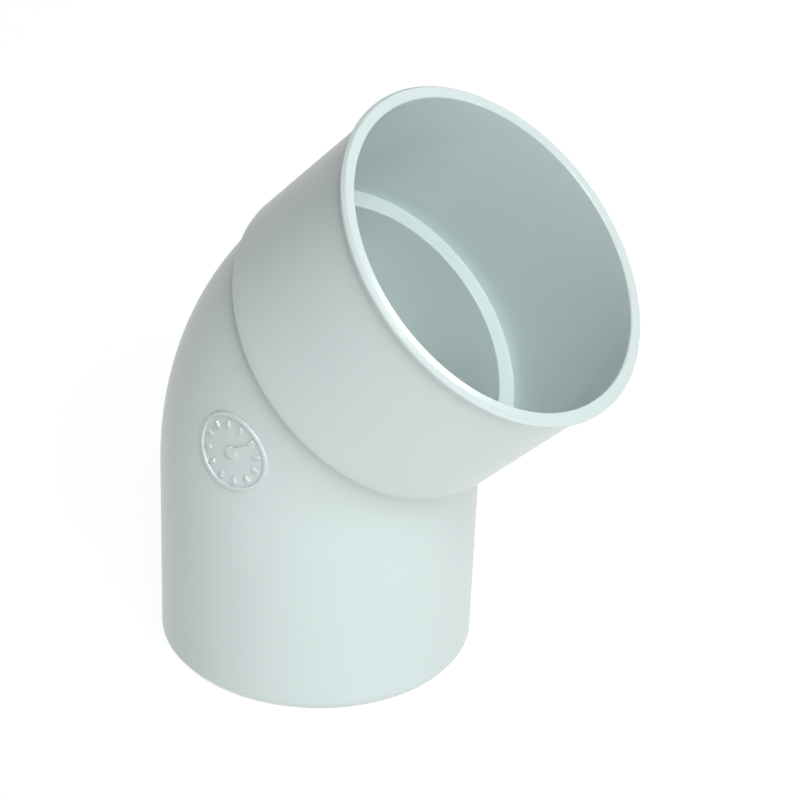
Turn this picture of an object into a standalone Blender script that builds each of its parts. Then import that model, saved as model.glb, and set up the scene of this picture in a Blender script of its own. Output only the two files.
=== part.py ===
# 45 degree elbow for round rigid PVC tube, with one plain end and one solvent-weld socket.
# Metres, +Z up. The plain end stands on z = 0 with its axis along Z, the tube bends towards +X,
# and y = 0 is the plane of symmetry. The origin is the middle of the footprint.
# The real elbow is one moulding. Each zone of it is its own closed solid here, and the zones
# are set apart by JOINT_GAP.

import bpy
import bmesh
from math import atan2, cos, pi, radians, sin
from mathutils import Matrix, Vector

# ---- driving dimensions, in metres and degrees ----

SPIGOT_DIAMETER = 0.063       # outside of the plain end, the size that the fitting is sold by
SPIGOT_LENGTH = 0.0385        # straight stretch of the plain end
BODY_WALL = 0.0034            # wall of the plain end and of the bend
FOOT_LEAD_WIDTH = 0.0012      # lead-in chamfer round the foot, measured across
FOOT_LEAD_HEIGHT = 0.0016     # the same chamfer, measured up

BEND_ANGLE = 45.0             # turn from the plain end to the socket
BEND_RADIUS = 0.0421          # radius of the bend's centreline

SOCKET_DEPTH = 0.0345         # from the stop ledge to the mouth: how far a tube goes in
SOCKET_CLEARANCE = 0.0001     # room all round a tube of SPIGOT_DIAMETER in the socket
SOCKET_WALL = 0.0015
LIP_WALL = 0.0026             # wall of the lip that stands out round the mouth
LIP_HEIGHT = 0.0009           # the lip's outer face, with its bevel, down from the mouth
LIP_SLOPE = 0.0012            # below that, the slope from the lip in to the socket's wall
MOUTH_OUTER_BEVEL = 0.00055
MOUTH_INNER_BEVEL = 0.00025

NECK_LENGTH = 0.0005          # from the end of the bend to the underside of the shoulder
STOP_THICKNESS = 0.00235      # from the underside of the shoulder to the stop ledge
SHOULDER_ROUND = 0.0012       # radius of the shoulder's outer edge

DIAL_RADIUS = 0.0084          # round moulded insert on the side of the bend
DIAL_DEPTH = 0.0017           # pocket floor below the crest of the tube
DIAL_RELIEF = 0.0004          # how far the dial's figure stands proud of the tube
DIAL_RING_INSET = 0.0005      # from the insert's edge in to the dial's ring
DIAL_RING_WIDTH = 0.0007
DIAL_TICKS = 12
DIAL_TICK_LENGTH = 0.0013
DIAL_TICK_WIDTH = 0.0006
DIAL_TICK_GAP = 0.0008        # from the ring in to the ticks
DIAL_BOSS_RADIUS = 0.0012     # round boss in the middle of the dial
DIAL_POINTER_WIDTH = 0.0016   # foot of the pointer, on the boss
DIAL_POINTER_TICK = 2         # the tick that the pointer is turned to

JOINT_GAP = 0.0003            # between two zones of the moulding

# ---- fineness of the round shapes ----

ROUND_STEPS = 96              # facets round a tube
BEND_STEPS = 12               # rings along the bend
FILLET_STEPS = 4
WELD_DISTANCE = 3e-7
SMOOTH_BELOW = radians(30)    # edges flatter than this are shaded smooth

# ---- colours and roughness ----

OFF_WHITE = (0.78, 0.82, 0.80)
BODY_ROUGHNESS = 0.42
SOCKET_ROUGHNESS = 0.38

# ---- sizes that follow ----

spigot_radius = SPIGOT_DIAMETER / 2
body_bore = spigot_radius - BODY_WALL
socket_bore = spigot_radius + SOCKET_CLEARANCE
socket_radius = socket_bore + SOCKET_WALL
lip_radius = socket_bore + LIP_WALL
ledge_height = NECK_LENGTH + STOP_THICKNESS      # heights along the socket start at the bend's end
seat_height = ledge_height - JOINT_GAP           # the shoulder's rim, which the socket's wall stands over
mouth_height = ledge_height + SOCKET_DEPTH
bend_turn = radians(BEND_ANGLE)
bend_end = Vector((BEND_RADIUS * (1 - cos(bend_turn)), 0, SPIGOT_LENGTH + BEND_RADIUS * sin(bend_turn)))
shoulder_step = socket_radius - spigot_radius
shoulder_round = min(SHOULDER_ROUND, seat_height - NECK_LENGTH - JOINT_GAP, shoulder_step - JOINT_GAP)


# ---- profiles: closed loops of (radius, height) round a zone's own axis ----

def spigot_profile():
    top = SPIGOT_LENGTH - JOINT_GAP
    return [
        (body_bore, 0),
        (spigot_radius - FOOT_LEAD_WIDTH, 0),
        (spigot_radius, FOOT_LEAD_HEIGHT),
        (spigot_radius, top),
        (body_bore, top),
    ]


def shoulder_profile():
    """Ring with the stop ledge inside, the socket's seat round it and the rounded step outside."""
    corner = (socket_radius - shoulder_round, NECK_LENGTH + shoulder_round)
    rounded = []
    for step in range(FILLET_STEPS + 1):
        angle = pi / 2 * step / FILLET_STEPS
        rounded.append((corner[0] + shoulder_round * sin(angle), corner[1] - shoulder_round * cos(angle)))
    return [
        (body_bore, JOINT_GAP),
        (spigot_radius, JOINT_GAP),
        (spigot_radius, NECK_LENGTH),
        *rounded,
        (socket_radius, seat_height),
        (socket_bore - JOINT_GAP, seat_height),
        (socket_bore - JOINT_GAP, ledge_height),
        (body_bore, ledge_height),
    ]


def socket_profile():
    low = seat_height + JOINT_GAP
    return [
        (socket_bore, low),
        (socket_radius, low),
        (socket_radius, mouth_height - LIP_HEIGHT - LIP_SLOPE),
        (lip_radius, mouth_height - LIP_HEIGHT),
        (lip_radius, mouth_height - MOUTH_OUTER_BEVEL),
        (lip_radius - MOUTH_OUTER_BEVEL, mouth_height),
        (socket_bore + MOUTH_INNER_BEVEL, mouth_height),
        (socket_bore, mouth_height - MOUTH_INNER_BEVEL),
    ]


# ---- building ----

def clear_scene():
    for obj in list(bpy.data.objects):
        bpy.data.objects.remove(obj, do_unlink=True)


def pvc(name, roughness):
    """Opaque satin PVC."""
    material = bpy.data.materials.new(name)
    material.use_nodes = True
    shader = material.node_tree.nodes["Principled BSDF"]
    shader.inputs["Base Color"].default_value = (*OFF_WHITE, 1)
    shader.inputs["Roughness"].default_value = roughness
    shader.inputs["Metallic"].default_value = 0
    material.diffuse_color = (*OFF_WHITE, 1)
    return material


def empty(name, parent=None, place=Matrix()):
    holder = bpy.data.objects.new(name, None)
    bpy.context.scene.collection.objects.link(holder)
    holder.parent = parent
    holder.matrix_local = place
    return holder


def object_of(name, bm, parent, material=None, place=Matrix()):
    """Turns the bmesh into an object under its parent, shaded smooth but for its real edges."""
    bmesh.ops.recalc_face_normals(bm, faces=bm.faces)
    mesh = bpy.data.meshes.new(name)
    bm.to_mesh(mesh)
    bm.free()
    mesh.shade_smooth()
    mesh.set_sharp_from_angle(angle=SMOOTH_BELOW)
    obj = bpy.data.objects.new(name, mesh)
    bpy.context.scene.collection.objects.link(obj)
    obj.parent = parent
    obj.matrix_local = place
    if material:
        mesh.materials.append(material)
    return obj


def helper(obj):
    """Marks a shape that only cuts or joins others."""
    obj.hide_render = True
    obj.display_type = "WIRE"
    return obj


def turned(profile):
    """The ring that the profile sweeps round the local Z axis."""
    bm = bmesh.new()
    corners = [bm.verts.new((radius, 0, height)) for radius, height in profile]
    edges = [bm.edges.new((corners[i - 1], corners[i])) for i in range(len(corners))]
    bmesh.ops.spin(
        bm, geom=corners + edges, cent=(0, 0, 0), axis=(0, 0, 1), dvec=(0, 0, 0),
        angle=2 * pi, steps=ROUND_STEPS, use_merge=True, use_duplicate=False,
    )
    return bm


def bent(radii):
    """A tube, or a rod where there is one radius, that follows the bend from z = 0 up and towards +X."""
    bm = bmesh.new()
    if len(radii) > 1:
        rim = [bm.verts.new((radius, 0, 0)) for radius in radii]
        bmesh.ops.spin(
            bm, geom=rim + [bm.edges.new(rim)], cent=(0, 0, 0), axis=(0, 0, 1), dvec=(0, 0, 0),
            angle=2 * pi, steps=ROUND_STEPS, use_merge=True, use_duplicate=False,
        )
    else:
        bmesh.ops.create_circle(bm, segments=ROUND_STEPS, radius=radii[0], cap_ends=True)
    bmesh.ops.spin(
        bm, geom=bm.verts[:] + bm.edges[:] + bm.faces[:], cent=(BEND_RADIUS, 0, 0), axis=(0, 1, 0),
        dvec=(0, 0, 0), angle=bend_turn, steps=BEND_STEPS, use_merge=False, use_duplicate=False,
    )
    return bm


def boolean(obj, operation, other):
    modifier = obj.modifiers.new(operation.lower(), "BOOLEAN")
    modifier.operation = operation
    modifier.solver = "EXACT"
    modifier.object = other


# ---- the dial: local X and Y lie in its face, local Z points out of the tube ----

def dial_place():
    """Halfway along the bend, on its -Y side: local Y runs along the tube, local Z out of it."""
    along_bend = Matrix.Translation((BEND_RADIUS, 0, 0)) @ Matrix.Rotation(bend_turn / 2, 4, "Y")
    on_axis = along_bend @ Matrix.Translation((-BEND_RADIUS, 0, 0))
    return on_axis @ Matrix.Rotation(pi / 2, 4, "X")


def prism(bm, outline, low, high):
    """Straight block over a flat outline of (x, y) points."""
    base = bm.faces.new([bm.verts.new((x, y, low)) for x, y in outline])
    sides = bmesh.ops.extrude_face_region(bm, geom=[base], use_keep_orig=True)
    risen = [item for item in sides["geom"] if isinstance(item, bmesh.types.BMVert)]
    bmesh.ops.translate(bm, verts=risen, vec=(0, 0, high - low))


def circle_outline(radius, steps):
    return [(radius * cos(2 * pi * i / steps), radius * sin(2 * pi * i / steps)) for i in range(steps)]


def dial_plug(radius, floor_gap):
    """Round plug from the pocket's floor to well outside the tube."""
    bm = bmesh.new()
    floor = spigot_radius - DIAL_DEPTH + floor_gap
    prism(bm, circle_outline(radius, ROUND_STEPS // 2), floor, spigot_radius + DIAL_DEPTH)
    return bm


def dial_figure():
    """The raised figure: a ring, its ticks, and a boss with a pointer. It starts inside the plug."""
    bm = bmesh.new()
    low = spigot_radius - (DIAL_DEPTH - JOINT_GAP) / 2
    low = min(low, spigot_radius * cos(DIAL_RADIUS / spigot_radius) - DIAL_RELIEF / 2)
    high = spigot_radius + DIAL_DEPTH
    ring_outside = DIAL_RADIUS - DIAL_RING_INSET
    ring_inside = ring_outside - DIAL_RING_WIDTH
    outer = circle_outline(ring_outside, ROUND_STEPS // 2)
    inner = circle_outline(ring_inside, ROUND_STEPS // 2)
    for i in range(len(outer)):
        corners = [(circle[k], z) for circle in (outer, inner) for z in (low, high) for k in (i - 1, i)]
        o0, o1, o2, o3, i0, i1, i2, i3 = [bm.verts.new((x, y, z)) for (x, y), z in corners]
        for ring_face in ((o0, o1, o3, o2), (i1, i0, i2, i3), (o1, o0, i0, i1), (o2, o3, i3, i2)):
            bm.faces.new(ring_face)
    bmesh.ops.remove_doubles(bm, verts=bm.verts, dist=WELD_DISTANCE)

    tick_end = ring_inside - DIAL_TICK_GAP
    tick_start = tick_end - DIAL_TICK_LENGTH
    half = DIAL_TICK_WIDTH / 2
    box = [(tick_start, -half), (tick_end, -half), (tick_end, half), (tick_start, half)]
    for tick in range(DIAL_TICKS):
        prism(bm, turned_outline(box, 2 * pi * tick / DIAL_TICKS), low, high)

    # The boss and the pointer are one outline: round the boss, then out to the pointer's tip.
    tip = tick_start - DIAL_TICK_GAP
    foot = atan2(DIAL_POINTER_WIDTH / 2, DIAL_BOSS_RADIUS)
    steps = ROUND_STEPS // 4
    arc = [foot + (2 * pi - 2 * foot) * i / steps for i in range(steps + 1)]
    outline = [(tip, 0)] + [(DIAL_BOSS_RADIUS * cos(a), DIAL_BOSS_RADIUS * sin(a)) for a in arc]
    prism(bm, turned_outline(outline, 2 * pi * DIAL_POINTER_TICK / DIAL_TICKS), low, high)
    return bm


def turned_outline(outline, angle):
    return [(x * cos(angle) - y * sin(angle), x * sin(angle) + y * cos(angle)) for x, y in outline]


# ---- the elbow ----

def footprint_middle():
    """Middle of the elbow's reach along X, with the plain end's axis at x = 0."""
    past_bend = max(height * sin(bend_turn) + radius * cos(bend_turn) for radius, height in socket_profile())
    return (bend_end.x + past_bend - spigot_radius) / 2


def build():
    clear_scene()
    root = empty("elbow_frame", place=Matrix.Translation((-footprint_middle(), 0, 0)))
    tilt = Matrix.Rotation(bend_turn, 4, "Y")
    bend_start = empty("bend_start", root, Matrix.Translation((0, 0, SPIGOT_LENGTH)))
    socket_axis = empty("socket_axis", root, Matrix.Translation(bend_end) @ tilt)

    object_of("spigot", turned(spigot_profile()), root, pvc("spigot_pvc", BODY_ROUGHNESS))
    bend = object_of("bend", bent((spigot_radius, body_bore)), bend_start, pvc("bend_pvc", BODY_ROUGHNESS))
    object_of("stop_shoulder", turned(shoulder_profile()), socket_axis, pvc("shoulder_pvc", BODY_ROUGHNESS))
    object_of("socket", turned(socket_profile()), socket_axis, pvc("socket_pvc", SOCKET_ROUGHNESS))

    place = dial_place()
    pocket = helper(object_of("dial_pocket", dial_plug(DIAL_RADIUS + JOINT_GAP, 0), bend_start, place=place))
    boolean(bend, "DIFFERENCE", pocket)

    flush = helper(object_of("tube_flush", bent((spigot_radius,)), bend_start))
    proud = helper(object_of("tube_proud", bent((spigot_radius + DIAL_RELIEF,)), bend_start))
    figure = helper(object_of("dial_figure", dial_figure(), bend_start, place=place))
    boolean(figure, "INTERSECT", proud)
    dial = object_of(
        "date_dial", dial_plug(DIAL_RADIUS, JOINT_GAP), bend_start, pvc("dial_pvc", BODY_ROUGHNESS), place
    )
    boolean(dial, "INTERSECT", flush)
    boolean(dial, "UNION", figure)


build()
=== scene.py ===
import bpy
import bmesh
from math import cos, pi, radians, sin, tan
from mathutils import Matrix, Vector


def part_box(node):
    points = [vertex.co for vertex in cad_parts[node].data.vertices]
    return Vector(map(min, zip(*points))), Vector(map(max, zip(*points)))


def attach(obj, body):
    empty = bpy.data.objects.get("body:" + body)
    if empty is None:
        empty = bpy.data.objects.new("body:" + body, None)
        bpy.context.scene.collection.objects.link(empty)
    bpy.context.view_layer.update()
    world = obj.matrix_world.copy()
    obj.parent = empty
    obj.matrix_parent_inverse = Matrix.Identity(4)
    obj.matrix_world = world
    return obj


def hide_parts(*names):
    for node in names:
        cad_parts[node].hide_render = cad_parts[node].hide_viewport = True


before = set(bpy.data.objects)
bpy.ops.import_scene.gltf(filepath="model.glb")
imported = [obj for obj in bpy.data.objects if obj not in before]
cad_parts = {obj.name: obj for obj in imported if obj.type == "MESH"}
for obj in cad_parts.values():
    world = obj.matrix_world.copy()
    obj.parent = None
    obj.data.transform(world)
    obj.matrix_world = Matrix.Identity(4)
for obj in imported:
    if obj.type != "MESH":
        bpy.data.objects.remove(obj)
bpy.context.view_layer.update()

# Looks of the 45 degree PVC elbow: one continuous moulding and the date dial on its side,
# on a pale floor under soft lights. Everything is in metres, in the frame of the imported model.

mm = 0.001


class Value:
    # one output socket, so that maths on it can be written as maths
    def __init__(self, maker, socket):
        self.maker = maker
        self.socket = socket

    def __add__(self, other):
        return self.maker.math("ADD", self, other)

    def __radd__(self, other):
        return self.maker.math("ADD", other, self)

    def __sub__(self, other):
        return self.maker.math("SUBTRACT", self, other)

    def __rsub__(self, other):
        return self.maker.math("SUBTRACT", other, self)

    def __mul__(self, other):
        return self.maker.math("MULTIPLY", self, other)

    def __rmul__(self, other):
        return self.maker.math("MULTIPLY", other, self)

    def __truediv__(self, other):
        return self.maker.math("DIVIDE", self, other)

    def __rtruediv__(self, other):
        return self.maker.math("DIVIDE", other, self)

    def __neg__(self):
        return self.maker.math("MULTIPLY", self, -1)


class Maker:
    # adds nodes to a tree and links them
    def __init__(self, tree):
        self.tree = tree

    def put(self, socket, value):
        if isinstance(value, Value):
            self.tree.links.new(value.socket, socket)
        else:
            socket.default_value = value

    def node(self, kind, settings=None, inputs=None, output=0):
        # settings come first, because they decide which sockets there are
        made = self.tree.nodes.new(kind)
        for name, value in (settings or {}).items():
            if name == "nodeGroup":
                made.node_tree = value
            else:
                setattr(made, name, value)
        for key, value in (inputs or {}).items():
            self.put(made.inputs[key], value)
        return Value(self, made.outputs[output])

    def math(self, operation, *values):
        return self.node("ShaderNodeMath", {"operation": operation}, dict(enumerate(values)))

    def vector(self, x, y, z):
        return self.node("ShaderNodeCombineXYZ", None, {0: x, 1: y, 2: z})

    def parts(self, vector):
        split = self.node("ShaderNodeSeparateXYZ", None, {0: vector})
        return [Value(self, split.socket.node.outputs[axis]) for axis in range(3)]

    def smooth(self, value, low, high):
        # 0 at low, 1 at high, with soft ends
        return self.node("ShaderNodeMapRange", {"interpolation_type": "SMOOTHSTEP"},
                         {0: value, 1: low, 2: high, 3: 0.0, 4: 1.0})


def geometryTree(name, inputs, outputs=(("Geometry", "NodeSocketGeometry"),)):
    # returns the tree, its maker, its inputs by name, and its output node
    tree = bpy.data.node_groups.new(name, "GeometryNodeTree")
    for socketName, kind, default in inputs:
        made = tree.interface.new_socket(socketName, in_out="INPUT", socket_type=kind)
        if default is not None:
            made.default_value = default
    for socketName, kind in outputs:
        tree.interface.new_socket(socketName, in_out="OUTPUT", socket_type=kind)
    make = Maker(tree)
    source = tree.nodes.new("NodeGroupInput")
    given = {socketName: Value(make, source.outputs[i]) for i, (socketName, _, _) in enumerate(inputs)}
    return tree, make, given, tree.nodes.new("NodeGroupOutput")


def meshFrom(seed, tree, values, name):
    # runs the tree on the seed object and keeps the result as a plain mesh object
    modifier = seed.modifiers.new(tree.name, "NODES")
    modifier.node_group = tree
    for item in tree.interface.items_tree:
        if item.item_type == "SOCKET" and item.in_out == "INPUT" and item.name in values:
            modifier[item.identifier] = values[item.name]
    evaluated = seed.evaluated_get(bpy.context.evaluated_depsgraph_get())
    mesh = bpy.data.meshes.new_from_object(evaluated)
    seed.modifiers.remove(modifier)
    bpy.data.objects.remove(seed)
    mesh.name = name
    piece = bpy.data.objects.new(name, mesh)
    bpy.context.scene.collection.objects.link(piece)
    return piece


def lineObject(name, points, closed=False):
    # a chain of points and edges that a tree reads
    mesh = bpy.data.meshes.new(name)
    count = len(points)
    edges = [(i, (i + 1) % count) for i in range(count if closed else count - 1)]
    mesh.from_pydata([Vector(point) for point in points], edges, [])
    obj = bpy.data.objects.new(name, mesh)
    bpy.context.scene.collection.objects.link(obj)
    return obj


# A place on the tube is its radius, its distance along the centreline from the foot, and its angle
# round it.

elbow = {
    "tubeRadius": 31.48 * mm,
    "tubeBore": 28.1 * mm,
    "straight": 38.5 * mm,
    "bendRadius": 42.1 * mm,
    "bendAngle": radians(45),
    "neck": 0.5 * mm,           # this, the ledge and the mouth are measured from the end of the bend
    "ledge": 2.85 * mm,
    "mouth": 37.35 * mm,
    "socketBore": 31.6 * mm,
    "socketRadius": 33.1 * mm,
    "lipRadius": 34.18 * mm,
    "lipHeight": 0.9 * mm,
    "lipSlope": 1.2 * mm,
    "footLead": (1.2 * mm, 1.6 * mm),       # across and up
    "footRounds": (0.3 * mm, 1.5 * mm),     # below and above the lead-in
    "footInner": 0.25 * mm,
    "mouthOuter": 0.55 * mm,
    "mouthInner": 0.25 * mm,
    "shoulderRound": 1.2 * mm,
    "lipRounds": (1.2 * mm, 0.3 * mm),      # where the slope leaves the wall, and where it meets the lip
    "ledgeRounds": (0.15 * mm, 0.2 * mm),   # at the socket's wall, as inside the mouth, and at the bore
    "edgeRound": 0.25 * mm,                 # every other outer edge
    "innerRound": 0.2 * mm,
    "bendRings": 44,
    "columns": 288,
    "crowding": 0.8,            # how far the columns crowd towards the parting plane, 0 to 1
    "partingHeight": 0.02 * mm,
    "partingWidth": 0.3 * mm,
}
bendStart = elbow["straight"]
bendEnd = bendStart + elbow["bendRadius"] * elbow["bendAngle"]
spigotLow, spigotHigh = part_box("spigot")
tubeAxisX = (spigotLow.x + spigotHigh.x) / 2


def rounded(before, corner, after, radius, steps=5):
    # the corner of a profile replaced by an arc that touches both of its sides
    p0, p1, p2 = Vector(before), Vector(corner), Vector(after)
    a, b = (p0 - p1).normalized(), (p2 - p1).normalized()
    half = a.angle(b) / 2
    centre = p1 + (a + b).normalized() * (radius / sin(half))
    cut = radius / tan(half)
    start, end = p1 + a * cut - centre, p1 + b * cut - centre
    sweep = start.angle(end)
    return [
        tuple(centre + (start * sin(sweep * (1 - i / steps)) + end * sin(sweep * i / steps)) / sin(sweep))
        for i in range(steps + 1)
    ]


def outline(corners, steps=5):
    # open chain through corners (radius, distance, round, points on the way there)
    points = []
    for i, (r, t, turn, extra) in enumerate(corners):
        here = (r, t)
        ends = not 0 < i < len(corners) - 1
        if ends or not turn:
            arc = [here]
        else:
            arc = rounded(corners[i - 1][:2], here, corners[i + 1][:2], turn, steps)
        if points and extra:
            last, first = Vector(points[-1]), Vector(arc[0])
            points += [tuple(last.lerp(first, k / (extra + 1))) for k in range(1, extra + 1)]
        points += arc
    return points


def elbowProfile():
    # closed chain of (radius, outside or not, distance), up the outside and down the inside
    e = elbow
    outer, bore, sock = e["tubeRadius"], e["tubeBore"], e["socketRadius"]
    neckAt, ledgeAt, mouthAt = (bendEnd + e[key] for key in ("neck", "ledge", "mouth"))
    leadIn, leadUp = e["footLead"]
    footLow, footHigh = e["footRounds"]
    slopeRound, lipRound = e["lipRounds"]
    wallRound, boreRound = e["ledgeRounds"]
    edge, inner = e["edgeRound"], e["innerRound"]
    outside = outline([
        ((outer + bore) / 2, 0, 0, 0),
        (outer - leadIn, 0, footLow, 0),
        (outer, leadUp, footHigh, 0),
        (outer, bendStart, 0, 12),
        (outer, bendEnd, 0, e["bendRings"]),
        (outer, neckAt, edge, 0),
        (sock, neckAt, e["shoulderRound"], 0),
        (sock, mouthAt - e["lipHeight"] - e["lipSlope"], slopeRound, 14),
        (e["lipRadius"], mouthAt - e["lipHeight"], lipRound, 1),
        (e["lipRadius"], mouthAt - e["mouthOuter"], edge, 0),
        (e["lipRadius"] - e["mouthOuter"], mouthAt, edge, 1),
        (e["socketBore"] + 2 * e["mouthInner"], mouthAt, 0, 2),
    ])
    inside = outline([
        (e["socketBore"] + 2 * e["mouthInner"], mouthAt, 0, 0),
        (e["socketBore"] + e["mouthInner"], mouthAt, wallRound, 0),
        (e["socketBore"], mouthAt - e["mouthInner"], inner, 0),
        (e["socketBore"], ledgeAt, wallRound, 14),
        (bore, ledgeAt, boreRound, 2),
        (bore, bendEnd, 0, 2),
        (bore, bendStart, 0, e["bendRings"]),
        (bore, e["footInner"], inner, 12),
        (bore + e["footInner"], 0, inner, 0),
        ((outer + bore) / 2, 0, 0, 0),
    ])
    return [(r, 1, t) for r, t in outside[:-1]] + [(r, 0, t) for r, t in inside[:-1]]


def tubePointTree():
    # group: where the point at a radius, a distance along the centreline and an angle lies
    tree, make, given, out = geometryTree(
        "tubePoint",
        [("Radius", "NodeSocketFloat", None), ("Distance", "NodeSocketFloat", None),
         ("Angle", "NodeSocketFloat", None), ("Straight", "NodeSocketFloat", bendStart),
         ("Bend Radius", "NodeSocketFloat", elbow["bendRadius"]),
         ("Bend Angle", "NodeSocketFloat", elbow["bendAngle"]), ("Axis X", "NodeSocketFloat", tubeAxisX)],
        [("Position", "NodeSocketVector")],
    )
    past = given["Distance"] - given["Straight"]
    turn = make.math("MINIMUM", make.math("MAXIMUM", past / given["Bend Radius"], 0.0), given["Bend Angle"])
    rest = past - turn * given["Bend Radius"]
    sine, cosine = make.math("SINE", turn), make.math("COSINE", turn)
    outward = given["Radius"] * make.math("COSINE", given["Angle"])
    x = given["Axis X"] + given["Bend Radius"] * (1 - cosine) + rest * sine + outward * cosine
    z = given["Straight"] + given["Bend Radius"] * sine + rest * cosine - outward * sine
    make.put(out.inputs[0], make.vector(x, given["Radius"] * make.math("SINE", given["Angle"]), z))
    return tree


def mouldingTree(tubePoint):
    # turns the profile round the bent centreline, with a parting ridge on the outside at y = 0
    tree, make, given, out = geometryTree(
        "moulding",
        [("Geometry", "NodeSocketGeometry", None), ("Columns", "NodeSocketInt", 64),
         ("Profile Points", "NodeSocketInt", 8), ("Crowding", "NodeSocketFloat", 0.5),
         ("Ridge Height", "NodeSocketFloat", 0.0), ("Ridge Width", "NodeSocketFloat", 0.001),
         ("Material", "NodeSocketMaterial", None)],
    )
    columns, points = given["Columns"], given["Profile Points"]
    grid = make.node("GeometryNodeMeshGrid", None,
                     {"Size X": 1.0, "Size Y": 1.0, "Vertices X": points + 1, "Vertices Y": columns + 1})
    index = make.node("GeometryNodeInputIndex")
    row = make.math("FLOOR", index / (columns + 1))
    column = index - row * (columns + 1)
    onProfile = make.node(
        "GeometryNodeSampleIndex", {"data_type": "FLOAT_VECTOR", "domain": "POINT"},
        {"Geometry": given["Geometry"], "Value": make.node("GeometryNodeInputPosition"),
         "Index": make.math("MODULO", row, points)},
    )
    radius, outside, distance = make.parts(onProfile)
    even = column / columns * (2 * pi)
    angle = even - given["Crowding"] * make.math("SINE", even * 2) / 2
    offPlane = make.math("ABSOLUTE", radius * make.math("SINE", angle))
    ridge = given["Ridge Height"] * outside * (1 - make.smooth(offPlane, 0.0, given["Ridge Width"]))
    place = make.node("GeometryNodeGroup", {"nodeGroup": tubePoint},
                      {"Radius": radius + ridge, "Distance": distance, "Angle": angle})
    shaped = make.node("GeometryNodeSetPosition", None, {"Geometry": grid, "Position": place})
    joined = make.node("GeometryNodeMergeByDistance", None, {"Geometry": shaped, "Distance": 0.002 * mm})
    real = make.node("GeometryNodeRealizeInstances", None, {"Geometry": joined})
    make.put(out.inputs[0], make.node("GeometryNodeSetMaterial", None,
                                      {"Geometry": real, "Material": given["Material"]}))
    return tree


def finishMesh(piece, sharpAngle=radians(35)):
    # faces outwards, smooth but for real edges
    bm = bmesh.new()
    bm.from_mesh(piece.data)
    bmesh.ops.recalc_face_normals(bm, faces=bm.faces)
    bm.to_mesh(piece.data)
    bm.free()
    piece.data.shade_smooth()
    piece.data.set_sharp_from_angle(angle=sharpAngle)


plastic = {
    "colour": (0.595, 0.68, 0.663, 1),
    "flowColour": (0.58, 0.667, 0.65, 1),     # where the melt ran a little greyer
    "roughness": 0.42,
    "roughnessSpread": 0.08,
    "specular": 0.3,
    "coat": 0.3,                # the skin that the polished mould leaves
    "coatRoughness": 0.14,
    "flowScale": 26.0,          # all scales are in waves for each metre
    "flowStretch": (1.0, 1.0, 0.35),
    "flowEdges": (0.35, 0.65),
    "mottleScale": 240.0,
    "grainScale": 2600.0,
    "drawScale": (900.0, 900.0, 14.0),          # lines that the core leaves as it is pulled out
    "grainDepth": 0.004 * mm,
    "bumpStrength": 0.35,
}


def pvcMaterial():
    # satin moulded plastic: slow flow marks, a faint mottle, draw lines and a fine grain
    material = bpy.data.materials.new("pvcMoulded")
    material.use_nodes = True
    shader = material.node_tree.nodes["Principled BSDF"]
    make = Maker(material.node_tree)
    place = make.node("ShaderNodeTexCoord", output=3)

    def noise(scale, detail, roughness=0.5, stretch=(1.0, 1.0, 1.0)):
        stretched = make.node("ShaderNodeMapping", None, {"Vector": place, "Scale": stretch})
        return make.node("ShaderNodeTexNoise", None,
                         {"Vector": stretched, "Scale": scale, "Detail": detail, "Roughness": roughness})

    flow = make.smooth(noise(plastic["flowScale"], 3.0, 0.55, plastic["flowStretch"]), *plastic["flowEdges"])
    mottle = noise(plastic["mottleScale"], 2.0)
    grain = noise(plastic["grainScale"], 3.0, 0.6)
    drawLines = noise(1.0, 1.0, 0.5, plastic["drawScale"])
    tones = {0: flow * 0.7 + mottle * 0.3, 6: plastic["colour"], 7: plastic["flowColour"]}
    colour = make.node("ShaderNodeMix", {"data_type": "RGBA"}, tones, output=2)
    uneven = flow * 0.5 + mottle * 0.3 + grain * 0.2 - 0.5
    roughness = plastic["roughness"] + plastic["roughnessSpread"] * uneven
    height = grain * 0.6 + mottle * 0.25 + drawLines * 0.15
    bump = make.node("ShaderNodeBump", None, {"Strength": plastic["bumpStrength"],
                                             "Distance": plastic["grainDepth"], "Height": height})
    make.put(shader.inputs["Base Color"], colour)
    make.put(shader.inputs["Roughness"], roughness)
    make.put(shader.inputs["Normal"], bump)
    shader.inputs["Specular IOR Level"].default_value = plastic["specular"]
    shader.inputs["Coat Weight"].default_value = plastic["coat"]
    shader.inputs["Coat Roughness"].default_value = plastic["coatRoughness"]
    print("material:", material.name)
    return material


def makeMoulding(tubePoint, pvc):
    profile = elbowProfile()
    seed = lineObject("profile", profile, closed=True)
    piece = meshFrom(seed, mouldingTree(tubePoint), {
        "Columns": elbow["columns"], "Profile Points": len(profile), "Crowding": elbow["crowding"],
        "Ridge Height": elbow["partingHeight"], "Ridge Width": elbow["partingWidth"], "Material": pvc,
    }, "elbowMoulding")
    finishMesh(piece)
    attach(piece, "root")
    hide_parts("spigot", "bend", "stop_shoulder", "socket")
    print("moulding:", len(piece.data.polygons), "faces from", len(profile), "profile points")


# The dial lies on the side of the bend.
dial = {
    "ringRadius": 7.9 * mm,     # outside of the ring
    "ringWidth": 0.7 * mm,
    "relief": 0.38 * mm,
    "flank": 0.15 * mm,         # width of the sloping edge of a raised line
    "skin": 0.012 * mm,         # the face between the lines, above the tube
    "root": 0.5 * mm,           # how far the piece reaches down into the wall
    "ticks": 12,
    "tickStart": 5.1 * mm,
    "tickEnd": 6.4 * mm,
    "tickWidth": 0.6 * mm,
    "bossRadius": 1.2 * mm,
    "pointerTip": 4.3 * mm,
    "pointerWidth": 1.6 * mm,
    "pointerTurn": radians(60),
    "rows": 130,
    "columns": 440,
}


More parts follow.
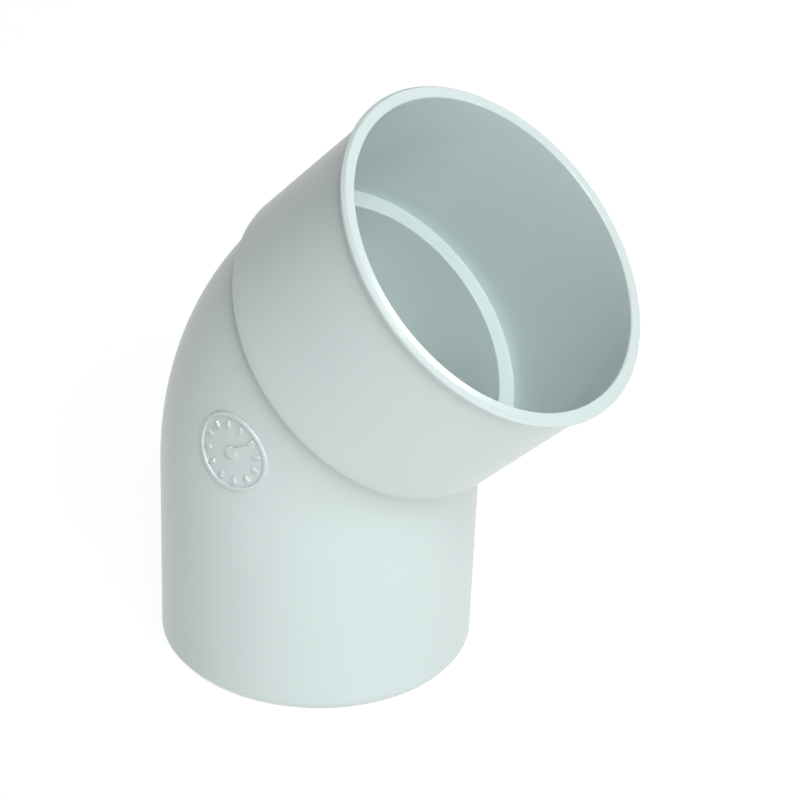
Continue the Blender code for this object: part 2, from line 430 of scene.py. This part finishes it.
def dialTree():
    # a round patch on the side of the bend, raised where a line of the figure passes, closed underneath
    lengths = ("Ring Radius", "Ring Width", "Relief", "Flank", "Skin", "Root", "Tick Start", "Tick End",
               "Tick Width", "Boss Radius", "Pointer Tip", "Pointer Width", "Pointer Turn",
               "Tube Radius", "Bend Radius", "Bend Angle", "Straight", "Axis X")
    inputs = [("Geometry", "NodeSocketGeometry", None), ("Ticks", "NodeSocketInt", 12),
              ("Rows", "NodeSocketInt", 16), ("Columns", "NodeSocketInt", 32)]
    inputs += [(name, "NodeSocketFloat", None) for name in lengths]
    inputs.append(("Material", "NodeSocketMaterial", None))
    tree, make, given, out = geometryTree("dial", inputs)

    def low(a, b):
        return make.math("MINIMUM", a, b)

    def high(a, b):
        return make.math("MAXIMUM", a, b)

    def cosine(a):
        return make.math("COSINE", a)

    def sine(a):
        return make.math("SINE", a)

    rows, columns = given["Rows"], given["Columns"]
    grid = make.node("GeometryNodeMeshGrid", None,
                     {"Size X": 1.0, "Size Y": 1.0, "Vertices X": rows + 3, "Vertices Y": columns + 1})
    index = make.node("GeometryNodeInputIndex")
    row = make.math("FLOOR", index / (columns + 1))
    turn = (index - row * (columns + 1)) / columns * (2 * pi)
    # the rows run from the middle out to the ring's edge, and the last two close the underside
    edge = given["Ring Radius"] + given["Flank"] / 2
    above = make.math("LESS_THAN", row, rows + 0.5)
    reach = edge * low(row / rows, 1.0) * make.math("LESS_THAN", row, rows + 1.5)
    across, along = reach * cosine(turn), reach * sine(turn)

    # how deep a place lies inside a raised line: above 0 within it
    inRing = low(given["Ring Radius"] - reach, reach - given["Ring Radius"] + given["Ring Width"])
    sector = 2 * pi / given["Ticks"]
    fold = make.math("PINGPONG", turn, sector / 2)
    outwards = reach * cosine(fold)
    inTick = low(low(outwards - given["Tick Start"], given["Tick End"] - outwards),
                 given["Tick Width"] / 2 - reach * sine(fold))
    inBoss = given["Boss Radius"] - reach
    fromPointer = turn - given["Pointer Turn"]
    towardsTip, aside = reach * cosine(fromPointer), make.math("ABSOLUTE", reach * sine(fromPointer))
    taper = given["Pointer Width"] / 2 * (1 - towardsTip / given["Pointer Tip"])
    inPointer = low(taper - aside, towardsTip)
    depth = high(high(inRing, inTick), high(inBoss, inPointer))
    raised = make.smooth(depth, given["Flank"] * -0.5, given["Flank"] * 0.5)
    height = given["Skin"] + given["Relief"] * raised
    height = height * above - given["Root"] * (1 - above)

    # laid on the tube: local X runs level, local Y along the tube, seen from straight outside
    middle = given["Bend Angle"] / 2
    centreX = given["Axis X"] + given["Bend Radius"] * (1 - cosine(middle))
    centreZ = given["Straight"] + given["Bend Radius"] * sine(middle)
    x = centreX + across * cosine(middle) + along * sine(middle)
    z = centreZ - across * sine(middle) + along * cosine(middle)
    hubX, hubZ = x - given["Axis X"] - given["Bend Radius"], z - given["Straight"]
    offAxis = make.math("SQRT", hubX * hubX + hubZ * hubZ) - given["Bend Radius"]
    skin = given["Tube Radius"] + height
    y = -make.math("SQRT", skin * skin - offAxis * offAxis)
    shaped = make.node("GeometryNodeSetPosition", None, {"Geometry": grid, "Position": make.vector(x, y, z)})
    joined = make.node("GeometryNodeMergeByDistance", None, {"Geometry": shaped, "Distance": 0.002 * mm})
    real = make.node("GeometryNodeRealizeInstances", None, {"Geometry": joined})
    make.put(out.inputs[0], make.node("GeometryNodeSetMaterial", None,
                                      {"Geometry": real, "Material": given["Material"]}))
    return tree


def makeDial(pvc):
    piece = meshFrom(lineObject("dialSeed", [(0, 0, 0), (mm, 0, 0)]), dialTree(), {
        "Ticks": dial["ticks"], "Rows": dial["rows"], "Columns": dial["columns"],
        "Ring Radius": dial["ringRadius"], "Ring Width": dial["ringWidth"], "Relief": dial["relief"],
        "Flank": dial["flank"], "Skin": dial["skin"], "Root": dial["root"],
        "Tick Start": dial["tickStart"], "Tick End": dial["tickEnd"], "Tick Width": dial["tickWidth"],
        "Boss Radius": dial["bossRadius"], "Pointer Tip": dial["pointerTip"],
        "Pointer Width": dial["pointerWidth"], "Pointer Turn": dial["pointerTurn"],
        "Tube Radius": elbow["tubeRadius"], "Bend Radius": elbow["bendRadius"],
        "Bend Angle": elbow["bendAngle"], "Straight": bendStart, "Axis X": tubeAxisX, "Material": pvc,
    }, "dateDial")
    finishMesh(piece, radians(60))
    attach(piece, "root")
    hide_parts("date_dial")
    print("dial:", len(piece.data.polygons), "faces")


# Camera, floor and lights.
view = {
    "azimuth": radians(34.78),  # from -Y towards +X
    "elevation": radians(27.43),
    "roll": radians(2.39),
    "aim": Vector((2.6, 0.8, 57.5)) * mm,
    "distance": 442.7 * mm,
    "lens": 104.5,
}


def direction(azimuth, elevation):
    return Vector((sin(azimuth) * cos(elevation), -cos(azimuth) * cos(elevation), sin(elevation)))


def makeCamera():
    data = bpy.data.cameras.new("camera")
    camera = bpy.data.objects.new("camera", data)
    bpy.context.scene.collection.objects.link(camera)
    data.sensor_width = 36
    data.lens = view["lens"]
    back = direction(view["azimuth"], view["elevation"])
    level = Vector((0, 0, 1)).cross(back).normalized()
    right = level * cos(view["roll"]) + back.cross(level) * sin(view["roll"])
    turn = Matrix((right, back.cross(right), back)).transposed().to_4x4()
    camera.matrix_world = Matrix.Translation(view["aim"] + back * view["distance"]) @ turn
    bpy.context.scene.camera = camera
    print("camera:", round(view["distance"] / mm), "mm away")


def makeLight(name, towards, distance, size, watts, colour, target, level=Vector((0, 0, 1))):
    # an area light that looks at the target, with the first of its sizes along level x towards
    data = bpy.data.lights.new(name, "AREA")
    data.shape = "RECTANGLE"
    data.size, data.size_y = size
    data.energy = watts
    data.color = colour
    light = bpy.data.objects.new(name, data)
    bpy.context.scene.collection.objects.link(light)
    light.location = target + towards * distance
    across = level.cross(towards).normalized()
    light.rotation_euler = Matrix((across, towards.cross(across), towards)).transposed().to_euler()


studio = {
    "leftColour": (0.055, 0.048, 0.042, 1),     # the room on the far side from the key light
    "rightColour": (0.03, 0.03, 0.03, 1),
    "fade": (-0.35, 0.95),
    "floorColour": (0.1, 0.1, 0.1, 1),
    "floorGlow": 0.93,
    "floorRadius": 6.0,
    "middle": Vector((0, 0, 60)) * mm,          # what the large lights look at
    "key": (59, 41, 1.2, 12.6),                 # azimuth, elevation, distance, watts
    "keySize": (0.6, 0.6),
    "fill": (50, 68, 1.3, 2.2),
    "fillSize": (0.5, 0.5),
    "back": (190, 32, 1.3, 5.0),
    "backSize": (0.7, 0.5),
    "rimAngle": radians(-76),                   # where round the mouth the rim shines most
    "glintDistance": 0.9,
    "glintSize": (0.06, 0.04),
    "glintWatts": 0.65,
}


def makeWorld():
    world = bpy.data.worlds.new("studio")
    bpy.context.scene.world = world
    world.use_nodes = True
    make = Maker(world.node_tree)
    x, y, z = make.parts(make.node("ShaderNodeTexCoord"))
    side = make.smooth(x * 0.72 - y * 0.3 + z * 0.45, *studio["fade"])
    room = make.node("ShaderNodeMix", {"data_type": "RGBA"},
                     {0: side, 6: studio["leftColour"], 7: studio["rightColour"]}, output=2)
    # below the horizon it is as pale as the floor
    colour = make.node("ShaderNodeMix", {"data_type": "RGBA"},
                       {0: make.smooth(z, 0.0, 0.1), 6: (1, 1, 1, 1), 7: room}, output=2)
    make.put(world.node_tree.nodes["Background"].inputs["Color"], colour)


def makeFloor():
    bm = bmesh.new()
    bmesh.ops.create_circle(bm, segments=96, radius=studio["floorRadius"], cap_ends=True)
    mesh = bpy.data.meshes.new("floor")
    bm.to_mesh(mesh)
    bm.free()
    floor = bpy.data.objects.new("floor", mesh)
    bpy.context.scene.collection.objects.link(floor)
    material = bpy.data.materials.new("paleFloor")
    material.use_nodes = True
    shader = material.node_tree.nodes["Principled BSDF"]
    shader.inputs["Base Color"].default_value = studio["floorColour"]
    shader.inputs["Roughness"].default_value = 0.9
    shader.inputs["Specular IOR Level"].default_value = 0.1
    shader.inputs["Emission Color"].default_value = (1, 1, 1, 1)
    shader.inputs["Emission Strength"].default_value = studio["floorGlow"]
    mesh.materials.append(material)
    print("floor:", studio["floorRadius"], "m")


def makeLights():
    for name in ("key", "fill", "back"):
        azimuth, elevation, distance, watts = studio[name]
        towards = direction(radians(azimuth), radians(elevation))
        makeLight(name, towards, distance, studio[name + "Size"], watts, (0.98, 1.0, 1.02), studio["middle"])
    # a small light that the flat rim mirrors towards the camera
    axis = Vector((sin(elbow["bendAngle"]), 0, cos(elbow["bendAngle"])))
    across = Vector((cos(elbow["bendAngle"]), 0, -sin(elbow["bendAngle"])))
    hub = Vector((tubeAxisX + elbow["bendRadius"] * (1 - cos(elbow["bendAngle"])), 0,
                  elbow["straight"] + elbow["bendRadius"] * sin(elbow["bendAngle"])))
    rim = (elbow["socketBore"] + elbow["lipRadius"]) / 2
    outwards = across * cos(studio["rimAngle"]) + Vector((0, sin(studio["rimAngle"]), 0))
    rimPoint = hub + axis * elbow["mouth"] + outwards * rim
    eye = view["aim"] + direction(view["azimuth"], view["elevation"]) * view["distance"]
    toCamera = (eye - rimPoint).normalized()
    mirrored = (axis * (2 * axis.dot(toCamera)) - toCamera).normalized()
    alongRim = axis.cross(outwards)
    makeLight("glint", mirrored, studio["glintDistance"], studio["glintSize"], studio["glintWatts"],
              (1, 1, 1), rimPoint, mirrored.cross(alongRim))


tubePoint = tubePointTree()
pvc = pvcMaterial()
makeMoulding(tubePoint, pvc)
makeDial(pvc)
makeFloor()
makeWorld()
makeLights()
makeCamera()
bpy.context.scene.view_settings.view_transform = "Standard"
